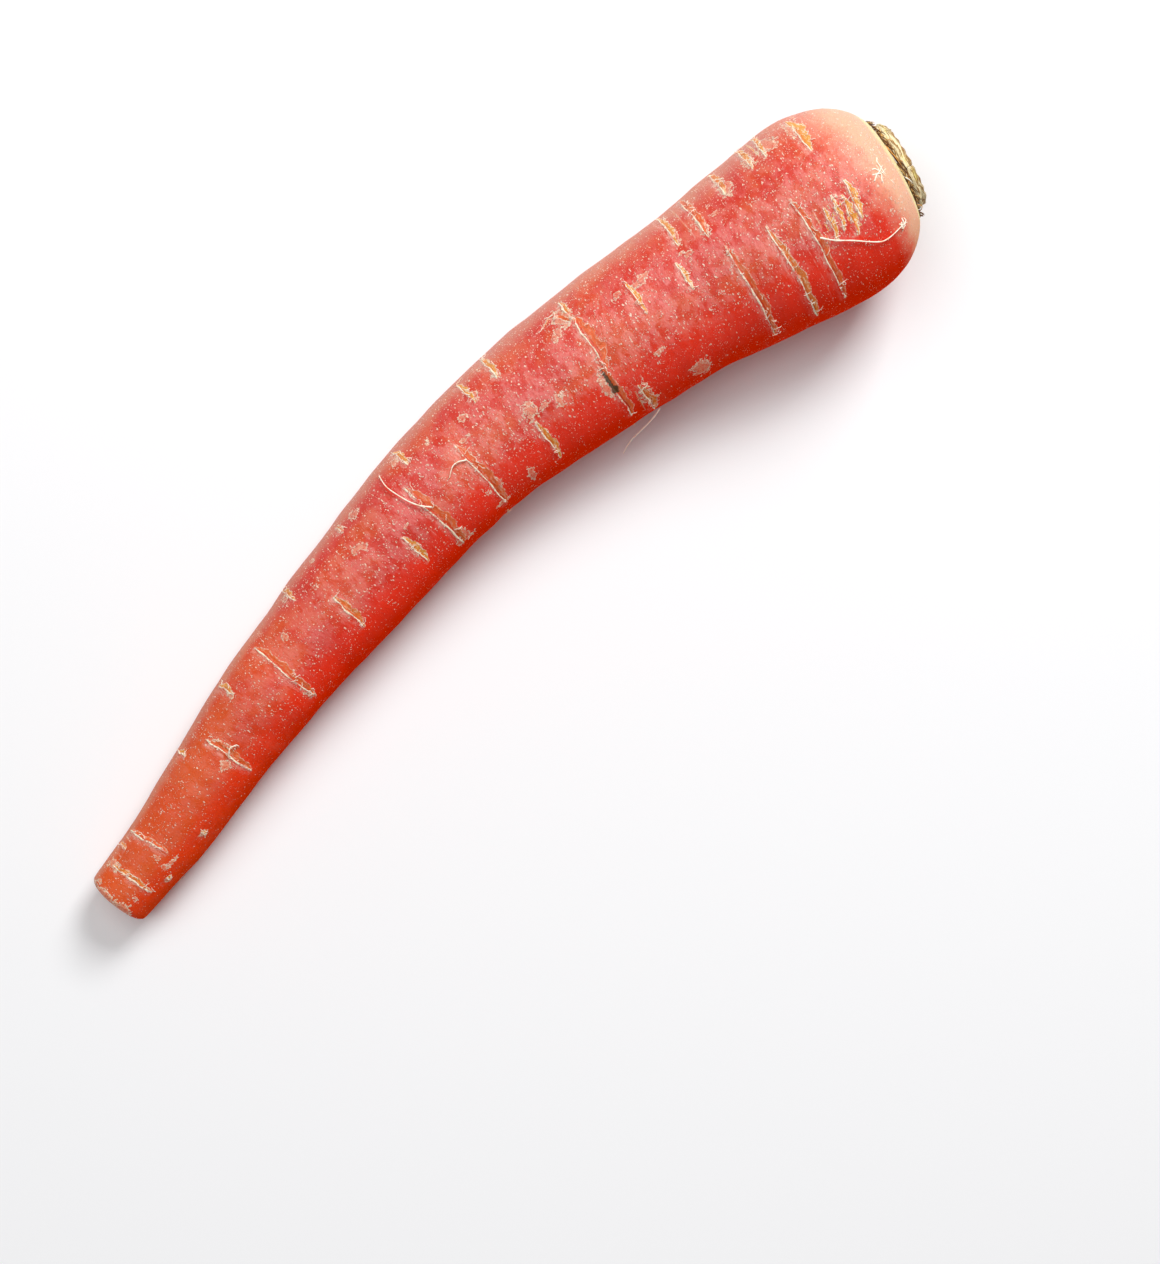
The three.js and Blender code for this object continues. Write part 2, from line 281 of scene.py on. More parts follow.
def nearest_split(distance, angle):
    """For each point: mm above its nearest split's lip, the open gap there, strength, gold, relief."""
    above, closest = np.full((2, *distance.shape), FAR_OFF)
    gap, shown, golden, relief = np.zeros((4, *distance.shape))
    for number, (start, end, width, depth, gold) in enumerate(SPLITS):
        middle, reach = (start[1] + end[1]) / 2, (end[1] - start[1]) / 2
        turn = (angle - middle + 180) % 360 - 180
        along = turn / reach
        lip_at = (start[0] + end[0]) / 2 + (end[0] - start[0]) / 2 * np.clip(along, -1.2, 1.2)
        lip_at = lip_at + 0.1 * np.sin(4.7 * along + number) + 0.05 * np.sin(11 * along + 2.1 * number)
        x = distance - lip_at
        near = (np.abs(along) < 1.3) & (np.abs(x) < SEARCH_REACH)
        x, s = x[near], along[near]
        fullness = np.clip(1 - s * s, 0, 1) ** (0.5 + 0.7 * gold)
        ragged = 1 + 0.18 * np.sin(9.0 * s + 1.7 * number) + 0.12 * np.sin(23 * s + number)
        opening = (1.3 - 0.35 * gold) * width * (0.1 + 0.9 * fullness) * ragged
        ends = np.clip((1.12 - np.abs(s)) / 0.22, 0, 1)
        wide_ends = np.clip((1.3 - np.abs(s)) / 0.4, 0, 1)
        into = x / opening
        wall = np.clip(into / 0.12, 0, 1)
        ramp = np.clip(1 - into, 0, 1) ** 1.1
        cut = CUT_SHARE * depth * wall * ramp * ends * (0.2 + 0.8 * fullness)
        lip = LIP_HEIGHT * ends * hump(x - LIP_PLACE, LIP_WIDTH)
        far_edge = FAR_EDGE_HEIGHT * ends * hump(x - opening - FAR_EDGE_PLACE, FAR_EDGE_WIDTH)
        waist = WAIST_SHARE * depth * wide_ends * hump(x, WAIST_WIDTH)
        relief[near] += lip + far_edge - cut - waist
        off_middle = np.abs(x - opening / 2)
        clear = np.clip((closest[near] - off_middle) / BORDER, 0, 1)
        strength = ends * np.clip(1 - np.abs(x) / SPLIT_REACH, 0, 1)
        shown[near] *= np.clip((off_middle - closest[near]) / BORDER, 0, 1)
        wins = off_middle < closest[near]
        for store, value in [
            (above, x), (gap, opening), (golden, np.full_like(x, gold)),
            (shown, strength * clear), (closest, off_middle),
        ]:
            kept = store[near]
            kept[wins] = value[wins]
            store[near] = kept
    return above, gap, shown, golden, relief


def patch_mark(patches, distance, angle, radius):
    """1 in a patch's middle, 0 at its edge, -1 well away from all of them."""
    mark = np.full(distance.shape, -1.0)
    for place, middle, along, round_about in patches:
        sideways_mm = np.radians((angle - middle + 180) % 360 - 180) * radius
        reach = np.hypot((distance - place) / along, sideways_mm / round_about)
        mark = np.maximum(mark, np.clip(1 - reach, -1, 1))
    return mark


# The skin is a grid of rings and columns of points. Where a column crosses a split, its steps
# there are cut into shorter ones, and the faces beside them are cut to fit.
COLUMNS = 216
RING_STEP = 0.72
FINE_STEPS = 5
TIP_RINGS = 14
RIM_RINGS = 20
RIM_SPAN = 6  # mm back from the crown's rim over which the rings crowd together
RING_MARGIN = 0.3

tip_share = np.linspace(0.1, 0.97, TIP_RINGS)
tip_rings = TIP_ROUNDING * (1 - (1 - tip_share**TIP_POWER) ** (1 / TIP_POWER))
rim_rings = ROOT_LENGTH - RIM_SPAN * np.linspace(1, 0, RIM_RINGS) ** 1.35
body_rings = np.arange(tip_rings[-1] + RING_MARGIN, rim_rings[0] - RING_MARGIN, RING_STEP)
ring_places = np.concatenate([tip_rings, body_rings, rim_rings])
column_angles = np.arange(COLUMNS) * 360 / COLUMNS
ring_grid, column_grid = np.meshgrid(ring_places, column_angles, indexing="ij")

step_middle = (ring_grid[:-1] + ring_grid[1:]) / 2
step_above, step_gap, step_shown, _, _ = nearest_split(step_middle, column_grid[:-1])
crossed = (step_shown > 0) & (step_above > -1.0) & (step_above < step_gap + 0.7)

columns = list(range(COLUMNS))
distances = list(ring_grid.ravel())
angles = list(column_grid.ravel())
between = {}
for i, j in zip(*np.nonzero(crossed)):
    between[i, j] = list(range(len(distances), len(distances) + FINE_STEPS - 1))
    for k in range(1, FINE_STEPS):
        distances.append(ring_places[i] + (ring_places[i + 1] - ring_places[i]) * k / FINE_STEPS)
        angles.append(column_angles[j])
distances, angles = np.array(distances), np.array(angles)


def fitted_faces(left, right):
    """Faces between two columns' points over one step, whatever number of points each has."""
    faces = []
    a = b = 0
    while a < len(left) - 1 or b < len(right) - 1:
        next_left, next_right = (a + 1) / (len(left) - 1), (b + 1) / (len(right) - 1)
        if abs(next_left - next_right) < 1e-6:
            faces.append((left[a], right[b], right[b + 1], left[a + 1]))
            a, b = a + 1, b + 1
        elif next_left < next_right:
            faces.append((left[a], right[b], left[a + 1]))
            a += 1
        else:
            faces.append((left[a], right[b], right[b + 1]))
            b += 1
    return faces


root_faces = []
for i in range(len(ring_places) - 1):
    for j in columns:
        ends = [(i * COLUMNS + c, (i + 1) * COLUMNS + c) for c in (j, (j + 1) % COLUMNS)]
        inner = [between.get((i, c), []) for c in (j, (j + 1) % COLUMNS)]
        left, right = [[low, *points, high] for (low, high), points in zip(ends, inner)]
        root_faces += fitted_faces(left, right)


def skin_radius(distance, angle):
    """The skin without its splits and grain, in mm from the middle line."""
    at_rest = girth(distance) * end_rounding(distance)
    underside = (0.5 - 0.5 * np.cos(np.radians(angle))) ** 6
    slow = swellings(distance, angle) * (0.35 + 0.65 * at_rest / 12) * (1 - underside)
    return at_rest + slow * away_from_ends(distance, at_rest)


def away_from_ends(distance, at_rest):
    """1 along the root, falling to 0 at the very tip and at the crown's rim."""
    return np.clip(at_rest / 3, 0, 1) * np.clip((ROOT_LENGTH - distance) / 4, 0, 1)


TORN_HEIGHT = 0.06
GRAIN_HEIGHT = 0.025
GRAIN_PER_MM = 1.9  # how fine the grain is

at_rest = girth(distances) * end_rounding(distances)
inland = away_from_ends(distances, at_rest)
above, gap, shown, golden, split_relief = nearest_split(distances, angles)
torn = patch_mark(TORN_PATCHES, distances, angles, at_rest)
rotten = patch_mark(ROT_SPOTS, distances, angles, at_rest)
radius = skin_radius(distances, angles)
radius = radius + (split_relief + TORN_HEIGHT * np.clip(torn * 4, 0, 1)) * inland
rough_skin = point_around(distances, angles, radius)
grain = np.array([noise.noise(Vector(p) * GRAIN_PER_MM) for p in rough_skin])
radius = radius + GRAIN_HEIGHT * grain * inland

# The flat face inside the crown's rim, ring by ring, and a point in the middle of each end.
PLATE_SHARES = (0.93, 0.8, 0.6, 0.4, 0.2)
outer_ring = (len(ring_places) - 1) * COLUMNS
rim_radius = radius[outer_ring:outer_ring + COLUMNS]
skin_count = len(distances)
for share in PLATE_SHARES:
    inner_ring = len(distances)
    distances = np.append(distances, np.full(COLUMNS, ROOT_LENGTH))
    angles = np.append(angles, column_angles)
    radius = np.append(radius, rim_radius * share)
    for j in columns:
        k = (j + 1) % COLUMNS
        root_faces.append((outer_ring + j, outer_ring + k, inner_ring + k, inner_ring + j))
    outer_ring = inner_ring
distances = np.append(distances, [0, ROOT_LENGTH])
angles = np.append(angles, [0, 0])
radius = np.append(radius, [0, 0])
tip_point, crown_point = len(distances) - 2, len(distances) - 1
root_faces += [(tip_point, (j + 1) % COLUMNS, j) for j in columns]
root_faces += [(crown_point, outer_ring + j, outer_ring + (j + 1) % COLUMNS) for j in columns]
root_points_mm = point_around(distances, angles, radius)

frame_low, frame_high = (np.array(corner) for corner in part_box("taproot"))
plain = point_around(ring_grid, column_grid, girth(ring_grid) * end_rounding(ring_grid)).reshape(-1, 3)
root_place = (frame_low + frame_high) / 2 / MM - (plain.min(0) + plain.max(0)) / 2
root_place[2] = frame_low[2] / MM - plain.min(0)[2]


def in_frame(points_mm):
    """Points in the root's own mm, set where the frame holds the root, in metres."""
    return (np.asarray(points_mm) + root_place) * MM


def new_piece(name, points, faces, finish, slot, *nodes):
    """A piece of the carrot from its points in metres and its faces, on the carrot's one body."""
    mesh = bpy.data.meshes.new(name)
    mesh.from_pydata([tuple(p) for p in points], [], faces)
    solid = bmesh.new()
    solid.from_mesh(mesh)
    bmesh.ops.recalc_face_normals(solid, faces=solid.faces)
    solid.to_mesh(mesh)
    solid.free()
    mesh.polygons.foreach_set("use_smooth", [True] * len(mesh.polygons))
    mesh.materials.append(finish)
    piece = bpy.data.objects.new(name, mesh)
    bpy.context.scene.collection.objects.link(piece)
    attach(piece, "root")
    if nodes:
        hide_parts(*nodes)
    return piece


def mark_points(piece, name, *values):
    """Stores three numbers for each point of a piece, for its finish to read."""
    store = piece.data.attributes.new(name, "FLOAT_VECTOR", "POINT")
    store.data.foreach_set("vector", np.stack(values, axis=-1).astype(np.float32).ravel())


def chart(red, green, blue):
    """A colour as a paint chart gives it, 0 to 255 each, in amounts of light."""
    levels = np.array([red, green, blue]) / 255
    light = np.where(levels <= 0.04045, levels / 12.92, ((levels + 0.055) / 1.055) ** 2.4)
    return (*light, 1.0)


class Shade:
    """A value or colour inside a finish. Arithmetic on it adds the Math nodes that work it out."""

    def __init__(self, finish, socket):
        self.finish = finish
        self.socket = socket

    def maths(self, operation, *values):
        return self.finish.add("ShaderNodeMath", {"operation": operation}, dict(enumerate(values)))

    def __add__(self, other):
        return self.maths("ADD", self, other)

    __radd__ = __add__

    def __sub__(self, other):
        return self.maths("SUBTRACT", self, other)

    def __rsub__(self, other):
        return self.maths("SUBTRACT", other, self)

    def __mul__(self, other):
        return self.maths("MULTIPLY", self, other)

    __rmul__ = __mul__

    def __truediv__(self, other):
        return self.maths("DIVIDE", self, other)

    def __abs__(self):
        return self.maths("ABSOLUTE", self)

    def either(self, other):
        return self.maths("MAXIMUM", self, other)

    def both(self, other):
        return self.maths("MINIMUM", self, other)

    def cut(self, low, high):
        """0 below low, 1 above high, and smooth between."""
        return self.finish.add(
            "ShaderNodeMapRange", {"interpolation_type": "SMOOTHSTEP"},
            {"Value": self, "From Min": low, "From Max": high},
        )

    def line(self, place, half_width, softness):
        """1 within half a width of a place, and 0 beyond it."""
        return 1 - abs(self - place).cut(half_width, half_width + softness)


class Finish:
    """One material, built node by node."""

    def __init__(self, name):
        self.material = bpy.data.materials.new(name)
        self.material.use_nodes = True
        self.tree = self.material.node_tree
        self.tree.nodes.clear()

    def add(self, kind, settings, sockets, output=0):
        """A node of a kind, with its settings, and the values or links of its sockets."""
        node = self.tree.nodes.new(kind)
        for setting, value in settings.items():
            setattr(node, setting, value)
        for name, value in sockets.items():
            if isinstance(value, Shade):
                self.tree.links.new(value.socket, node.inputs[name])
            else:
                node.inputs[name].default_value = value
        return Shade(self, node.outputs[output]) if node.outputs else None

    def marks(self, name):
        return self.add("ShaderNodeAttribute", {"attribute_name": name}, {}, "Vector")

    def parts(self, vector):
        """The three numbers that a vector or a colour holds."""
        first = self.add("ShaderNodeSeparateXYZ", {}, {0: vector})
        return [Shade(self, output) for output in first.socket.node.outputs]

    def stretch(self, vector, amounts):
        return self.add("ShaderNodeVectorMath", {"operation": "MULTIPLY"}, {0: vector, 1: amounts})

    def shift(self, vector, other):
        return self.add("ShaderNodeVectorMath", {"operation": "ADD"}, {0: vector, 1: other})

    def blotches(self, vector, scale, detail=2.0, roughness=0.5, output="Fac"):
        return self.add(
            "ShaderNodeTexNoise", {},
            {"Vector": vector, "Scale": scale, "Detail": detail, "Roughness": roughness}, output,
        )

    def dots(self, vector, scale, output):
        """Points strewn evenly: the distance to the nearest one, or its own random colour."""
        return self.add("ShaderNodeTexVoronoi", {}, {"Vector": vector, "Scale": scale}, output)

    def paint(self, under, over, mask):
        return self.add("ShaderNodeMix", {"data_type": "RGBA"}, {0: mask, 6: under, 7: over}, 2)

    def bump(self, height, distance, strength=1.0):
        return self.add(
            "ShaderNodeBump", {}, {"Height": height, "Distance": distance, "Strength": strength}
        )

    def principled(self, **sockets):
        """The surface shader; the name of each socket has _ for a blank."""
        named = {name.replace("_", " "): value for name, value in sockets.items()}
        return self.add("ShaderNodeBsdfPrincipled", {}, named)

    def finished(self, shader):
        self.add("ShaderNodeOutputMaterial", {}, {"Surface": shader})
        return self.material


SUNNY_RED = chart(208, 36, 2)
ORANGE_RED = chart(214, 72, 8)
SHADE_SIDE_RED = chart(238, 42, 0)
GRAIN_RED = chart(170, 14, 2)
TIP_ORANGE = chart(218, 88, 14)
PEACH = chart(240, 178, 142)
BLUSH = chart(234, 134, 108)
LIT_SIDE_TAN = chart(214, 140, 108)
SHEEN_PINK = chart(255, 176, 170)
RIM_CREAM = chart(247, 224, 164)
CROWN_BROWN = chart(96, 66, 34)
SPECK_AND_GLINT_PALE = chart(255, 226, 202)
FLESH_GOLD = chart(242, 162, 58)
FLESH_RED = chart(238, 104, 46)
THROAT_SHADE_RED = chart(198, 40, 6)
THROAT_SHADE_GOLD = chart(212, 112, 14)
LIP_CREAM = chart(253, 238, 210)
LIP_PINK = chart(242, 178, 162)
TORN_TAN = chart(238, 166, 134)
ROT_BROWN = chart(78, 56, 24)


# Four sizes of speck, pale flecks of skin and partly painted glints: squeezed along and round the
# root, how crowded, how rare, and how large.
SPECKS = [
    ((2.3, 0.6, 0.6), 0.8, 0.7, 0.7), ((1.5, 0.8, 0.8), 1.15, 0.55, 0.56),
    ((1.4, 0.8, 0.8), 1.9, 0.46, 0.6), ((1.2, 1.0, 1.0), 3.1, 0.44, 0.62),
]


def root_finish():
    """Waxy red skin: cloudy reds, painted sheen, shade and light, pale specks, peach shoulder, splits.
    """
    f = Finish("carrot skin")
    place = f.marks("skin_place")
    distance = f.parts(place)[0]
    above, gap, shown = f.parts(f.marks("split_place"))
    golden, torn, rotten = f.parts(f.marks("skin_marks"))
    shoulder, facing, upward = f.parts(f.marks("skin_sides"))
    # The root's sides by angle: painted shade goes on the -Y flank, painted light on the +Y flank, and a
    # painted sheen over the top.
    shade_side = 1 - facing.cut(-0.9, 0.05)
    shaded_flank = 1 - facing.cut(-0.95, -0.3)
    upper_end = distance.cut(0.0, 120.0)
    light_side = facing.cut(0.6, 1.0)
    top_side = upward.cut(-0.1, 0.3)

    clouds = f.blotches(f.stretch(place, (0.6, 1, 1)), 0.1, 3.0, 0.55)
    mottle = f.blotches(f.stretch(place, (1.0, 0.6, 0.6)), 0.45, 3.0, 0.6)
    colour = f.paint(SUNNY_RED, ORANGE_RED, (clouds * 0.7 + mottle * 0.3).cut(0.42, 0.62))
    tip_side = 1 - distance.cut(0.0, 70.0)
    colour = f.paint(colour, TIP_ORANGE, tip_side * 0.6)
    # Painted shade: the -Y flank is painted a deeper, more saturated red, as a shaded side looks.
    colour = f.paint(colour, SHADE_SIDE_RED, (shade_side + (clouds - 0.5) * 0.5).cut(0.05, 0.85))
    colour = f.paint(colour, TIP_ORANGE, tip_side * 0.35)
    # Painted light and reflection: the +Y flank is painted paler and tanner, as the side that light
    # falls on.
    colour = f.paint(colour, LIT_SIDE_TAN, (light_side + (mottle - 0.5) * 0.6).cut(0.2, 1.0) * 0.6)

    wander = f.stretch(f.blotches(place, 1.5, 2.0, 0.5, "Color"), (0.9, 0.9, 0.9))
    fibres = f.blotches(f.stretch(f.shift(place, wander), (4.6, 0.8, 0.8)), 0.9, 3.0, 0.6)
    crumbs = f.blotches(place, 2.4, 3.0, 0.65)
    ragged = crumbs - 0.5
    dust = f.blotches(f.stretch(place, (1.5, 1.0, 1.0)), 2.6, 3.0, 0.75)

    patchiness = f.blotches(f.stretch(place, (1.6, 0.9, 0.9)), 0.32, 4.0, 0.65)
    # Painted sheen: a patchy pale pink band over the top, faint elsewhere and none on the shaded -Y
    # flank, stands in for the soft light's reflection.
    painted_sheen = facing.cut(-0.65, -0.2) * (1 - facing.cut(0.35, 0.8)) * top_side * 0.75
    painted_sheen = (painted_sheen + 0.1 * (1 - shaded_flank)) * (patchiness * 0.7 + mottle * 0.3).cut(0.45, 0.54)
    painted_sheen = painted_sheen * (fibres.cut(0.4, 0.6) * 0.5 + 0.5) * (upper_end * 0.8 + 0.2)
    colour = f.paint(colour, SHEEN_PINK, painted_sheen * 0.36)
    colour = f.paint(colour, GRAIN_RED, (1 - dust.cut(0.34, 0.46)) * 0.2)

    # Peach shoulder: the skin's own colour, and partly a painted highlight, so it reaches further on the
    # lit +Y side.
    near_rim = shoulder + (mottle - 0.5) * 0.35 + (clouds - 0.5) * 0.3
    colour = f.paint(colour, BLUSH, near_rim.cut(0.0, 0.4) * (patchiness.cut(0.3, 0.6) * 0.4 + 0.35))
    colour = f.paint(colour, PEACH, (near_rim + ragged * 0.3).cut(0.32, 0.72) * 0.95)

    crowd = f.blotches(place, 0.2, 2.0)
    # More specks in the painted sheen and fewer on the shaded -Y flank, where they are partly painted
    # glints.
    few = (crowd - 0.5) * 0.9 - shaded_flank * 0.42 + shoulder.both(0.8) * 0.25 + painted_sheen * 0.15
    few = few - (1 - upper_end) * 0.25
    jitter = f.stretch(f.blotches(place, 2.6, 2.0, 0.6, "Color"), (0.5, 0.5, 0.5))
    specks = None
    for stretch, scale, rare, size in SPECKS:
        grains = f.stretch(f.shift(f.shift(place, jitter), (7.3 * scale, 0, 0)), stretch)
        reach = f.dots(grains, scale, "Distance")
        chance = f.parts(f.dots(grains, scale, "Color"))[0]
        layer = 1 - (reach - (chance - rare + few * 0.3) * size).cut(-0.05, 0.05)
        specks = layer if specks is None else specks.either(layer)
    colour = f.paint(colour, SPECK_AND_GLINT_PALE, specks * 0.85)

    here = shown.cut(0.2, 0.4)
    x = above + ragged * 0.32
    behind = (x / 2.2 + 1).cut(0.1, 1.0) * (1 - x.cut(-0.05, 0.1)) * shown.cut(0.0, 0.2)
    behind = behind * fibres.cut(0.38, 0.6) * patchiness.cut(0.32, 0.55)
    # The pale pink band behind each lip is painted fainter on the shaded -Y flank: painted shade.
    colour = f.paint(colour, LIP_PINK, behind * (0.8 - shaded_flank * 0.55))

    patch = torn + ragged * 2.2 + (f.blotches(place, 0.8, 2.0) - 0.5) * 2.4
    inside_patch = patch.cut(0.0, 0.12)
    patch_rim = patch.line(0.12, 0.09, 0.12) * crumbs.cut(0.4, 0.52)
    colour = f.paint(colour, TORN_TAN, inside_patch * crumbs.cut(0.3, 0.6) * 0.6)
    colour = f.paint(colour, LIP_CREAM, patch_rim * 0.85)

    far = above - gap + ragged * 0.4
    open_flesh = x.cut(-0.02, 0.06) * (1 - far.cut(-0.05, 0.1)) * here
    flesh = f.paint(FLESH_RED, FLESH_GOLD, (golden + (fibres - 0.5) * 0.8).cut(0.2, 0.9))
    # Painted shade: the flesh is darker deep in the gap, next to the lip, where the split's throat lies
    # in shade.
    throat_shade = f.paint(THROAT_SHADE_RED, THROAT_SHADE_GOLD, golden)
    flesh = f.paint(flesh, throat_shade, 1 - (x / gap).cut(0.05, 0.5))
    colour = f.paint(colour, flesh, open_flesh)
    streak = fibres.cut(0.54, 0.6) * (golden * 0.8 + 0.2) * open_flesh
    colour = f.paint(colour, LIP_CREAM, streak * 0.8)
    far_line = far.line(0.1, 0.06, 0.08) * here * crumbs.cut(0.44, 0.54) * (golden * 0.5 + 0.5)
    colour = f.paint(colour, LIP_CREAM, far_line * 0.85)
    # The pale lip on the tip side of each split: torn skin, and partly a painted highlight where the lip
    # faces the crown end.
    lip_width = 0.14 + (patchiness - 0.35).either(0.0) * 1.1
    lip_line = (x / lip_width + 1).cut(0.0, 0.4) * (1 - x.cut(-0.02, 0.04)) * here
    lip_line = lip_line * (mottle + crumbs).cut(0.84, 0.98)
    colour = f.paint(colour, LIP_CREAM, lip_line * 0.95)

    plate = shoulder.cut(1.02, 1.2)
    colour = f.paint(colour, RIM_CREAM, (shoulder + ragged * 0.04).cut(0.9, 0.97))
    colour = f.paint(colour, CROWN_BROWN, plate)
    colour = f.paint(colour, ROT_BROWN, (rotten + ragged * 1.8).cut(0.0, 0.3) * 0.95)

    dull = lip_line.either(patch_rim).either(plate)
    relief = fibres * 0.45 + specks * 0.5 + inside_patch * 0.5 + lip_line * 0.5 + dust * 0.45
    look = dict(
        Base_Color=colour, Normal=f.bump(relief, 0.00024, 1.0), Subsurface_Weight=0.1,
        Subsurface_Radius=(1.0, 0.3, 0.12), Subsurface_Scale=0.001,
    )
    waxy = f.principled(
        **look, Roughness=0.4 + dull * 0.35 + mottle * 0.1, Specular_IOR_Level=0.75, IOR=1.5
    )
    dry = f.principled(**look, Roughness=0.9, Specular_IOR_Level=0.0, IOR=1.5)
    # Painted shade: on the shaded -Y flank the skin has no gloss at all, a matte copy in place of the
    # glossy one; the gloss is also less towards the tip.
    wax_off_shade = (1 - shaded_flank) * (upper_end * 0.5 + 0.5)
    return f.finished(f.add("ShaderNodeMixShader", {}, {0: wax_off_shade, 1: dry, 2: waxy}))


root = new_piece(
    "carrot_root", in_frame(root_points_mm), root_faces, root_finish(), "root_skin", "taproot"
)
lowest = frame_low[2]
for point in root.data.vertices:
    point.co.z = max(point.co.z, lowest)


def carried_on(values, on_plate, at_tip):
    """A mark of the skin's points, carried on over the crown's face and the two end points."""
    plate_points = len(distances) - 2 - skin_count
    return np.concatenate([values, np.full(plate_points, on_plate), [at_tip, on_plate]])


# The peach band is partly a painted highlight, so it leans onto the lit +Y side.
PEACH_WIDTH = 11.5  # mm from the crown's rim
PEACH_LEAN = 4.5  # mm wider than that on the +Y side, and narrower on the other
ON_PLATE = 1.6  # the mark of the crown's flat face, past the 1 of its rim

facing, upward = np.sin(np.radians(angles)), np.cos(np.radians(angles))
mark_points(root, "skin_place", distances, radius * facing, radius * upward)
mark_points(
    root, "split_place", carried_on(above, FAR_OFF, FAR_OFF), carried_on(gap, 0, 0),
    carried_on(shown, 0, 0),
)
mark_points(
    root, "skin_marks", carried_on(golden, 0, 0), carried_on(torn, -1, 0), carried_on(rotten, -1, -1)
)
peach_from = ROOT_LENGTH - PEACH_WIDTH - PEACH_LEAN * facing[:skin_count]
to_rim = np.clip((distances[:skin_count] - peach_from) / (ROOT_LENGTH - peach_from), 0, 1)
mark_points(root, "skin_sides", carried_on(to_rim, ON_PLATE, 0), facing, upward)

# ------------------------------------------------------------------------------------------------
# The leaf stalks. Nine clasping stalk bases in two rings, cut off level just above the crown when
# the leaves were trimmed: ridged round, olive and dry outside, paler and pithy where they are cut.

STALK_RINGS = [  # how many, mm from the crown's middle, mm thick, mm high, degrees to the first
    (6, 7.2, 3, 3, 12), (3, 3.7, 2, 2.6, 40),
]
STALK_GAP = 0.01  # mm, the slit between neighbours
STALK_COLUMNS = 29
RIDGE_HEIGHT = 0.16

crown_heading = line_heading[-1]
crown_out = np.array([math.cos(crown_heading), math.sin(crown_heading), 0])
crown_side = np.array([-math.sin(crown_heading), math.cos(crown_heading), 0])
crown_up = np.array([0.0, 0.0, 1.0])
crown_middle = point_around(ROOT_LENGTH, 0, 0)


def on_crown(turn, from_middle, out):
    """Points on the crown, in mm: degrees round its middle, mm from it, and mm out of the root."""
    turn, from_middle, out = np.broadcast_arrays(np.radians(turn), from_middle, out)
    across = -(np.cos(turn)[..., None] * crown_side + np.sin(turn)[..., None] * crown_up)
    return crown_middle + across * from_middle[..., None] + crown_out * out[..., None]


def closed_tube(rings):
    """Points and faces of a closed solid through rings of points, with a point in each end."""
    count = len(rings[0])
    points = [*np.concatenate(rings), np.mean(rings[0], axis=0), np.mean(rings[-1], axis=0)]
    faces = []
    for k in range(len(rings) - 1):
        for a in range(count):
            b = (a + 1) % count
            faces.append((k * count + a, k * count + b, (k + 1) * count + b, (k + 1) * count + a))
    last = (len(rings) - 1) * count
    for a in range(count):
        b = (a + 1) % count
        faces.append((len(points) - 2, b, a))
        faces.append((len(points) - 1, last + a, last + b))
    return points, faces


def together(solids):
    """Several solids' points and faces as those of one piece."""
    points, faces = [], []
    for more_points, more_faces in solids:
        faces += [tuple(corner + len(points) for corner in face) for face in more_faces]
        points += list(more_points)
    return np.array(points), faces


STALK_LEVELS = [  # from the skin to the cut end: mm out, mm of lean, share of the full thickness
    (-0.2, -0.1, 0.94), (0.2, -0.05, 0.97), (0.5, 0, 1), (0.8, 0.04, 1), (1.1, 0.06, 1),
    (1.4, 0.06, 1), (1.7, 0.05, 1), (2, 0.02, 0.99), (2.3, -0.04, 0.98), (2.6, -0.12, 0.96),
    (2.85, -0.22, 0.92), (3, -0.34, 0.84), (2.94, -0.4, 0.6), (2.8, -0.4, 0.3),
]
STALK_TOP = 3.0  # mm out, the highest of the levels
PITH_SHARE = [0] * 10 + [0.1, 0.25, 0.6, 0.9]  # how far into the cut end each of the levels is


def stalk_base(first, share, middle, thick, height):
    """One clasping stalk base: an arc, ridged round, that leans outwards and is cut unevenly."""
    chance = np.random.default_rng(int(first * 10))
    outer_turns = np.linspace(-share, share, STALK_COLUMNS)
    inner_turns = outer_turns[::-1][2:-2] * 0.86
    tilt, phase = chance.uniform(-0.12, 0.12), chance.uniform(0, 6)
    rings = []
    for level, lean, shrink in STALK_LEVELS:
        ridges = np.sin(5.2 * level + 0.06 * outer_turns + phase) + 0.6 * np.sin(
            9.1 * level - 0.11 * outer_turns + 2 * phase
        )
        outer = middle + thick / 2 * shrink + lean + ridges * RIDGE_HEIGHT * shrink
        inner = np.full(len(inner_turns), middle - thick / 2 * shrink + lean)
        turns = np.concatenate([outer_turns, inner_turns]) * (0.9 + 0.1 * shrink)
        uneven = 0.1 + tilt * turns / share + 0.1 * np.sin(turns * 0.4 + phase)
        out = level / STALK_TOP * (height + uneven)
        rings.append(on_crown(first + turns, np.concatenate([outer, inner]), out))
    return closed_tube(rings)


STALK_OLIVE = chart(224, 190, 128)
STALK_STRAW = chart(255, 240, 194)
STALK_YELLOW = chart(238, 218, 104)
STALK_BROWN = chart(146, 98, 46)


